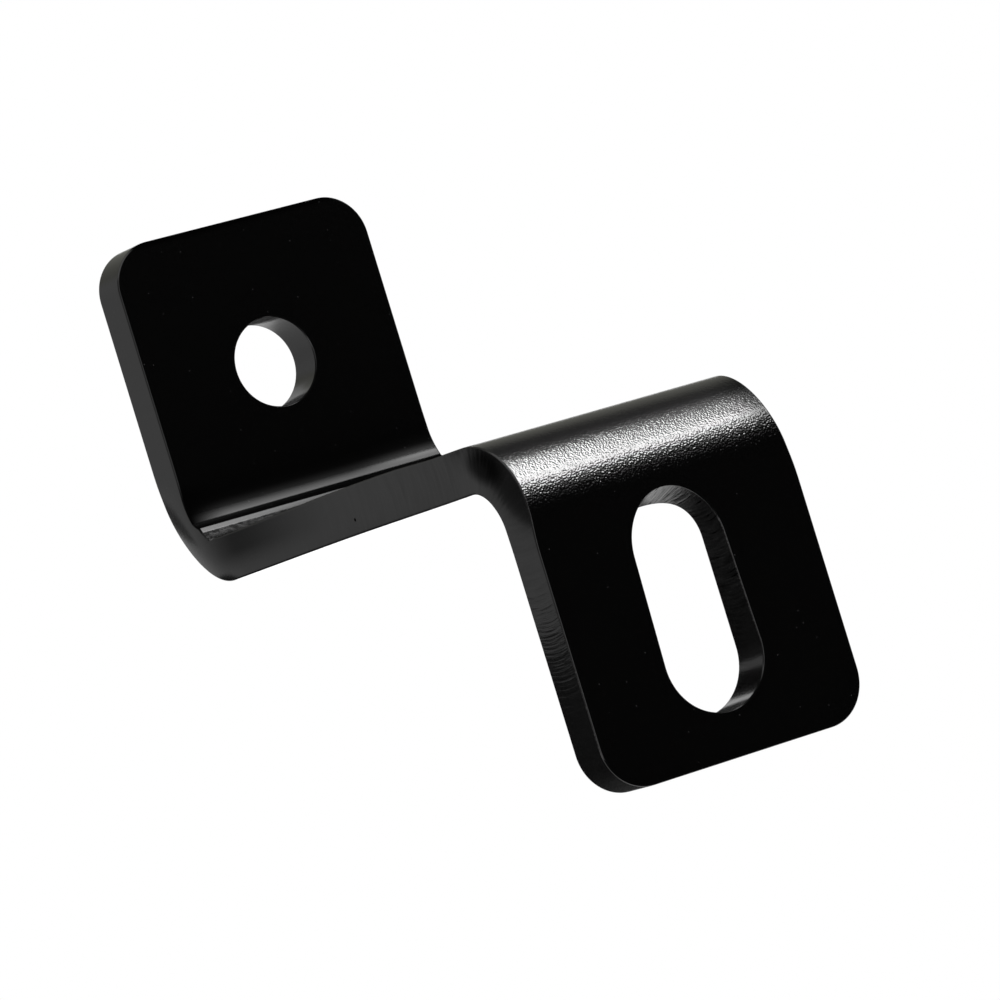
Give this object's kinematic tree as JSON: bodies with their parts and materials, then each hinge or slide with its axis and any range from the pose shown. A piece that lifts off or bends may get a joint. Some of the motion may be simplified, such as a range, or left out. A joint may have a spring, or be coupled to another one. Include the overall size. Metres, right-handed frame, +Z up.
{
  "type": "mounting bracket",
  "caption": "Z-shaped steel bracket folded from thick flat bar, with a round hole in the upper flange and a long slot in the lower one, coated gloss black.",
  "frame": {"origin": "the middle of the bracket's bounding box, on its plane of symmetry, above the middle of the web", "axes": "+Z up with the web level, +Y along the web from the slotted flange to the drilled one, +X along the fold lines"},
  "size_m": [0.0404, 0.0892, 0.0882],
  "materials": {
    "black_coat": "gloss black coat with a fine orange peel"
  },
  "bodies": {
    "root": {"bracket": "black_coat"}
  },
  "joints": []
}
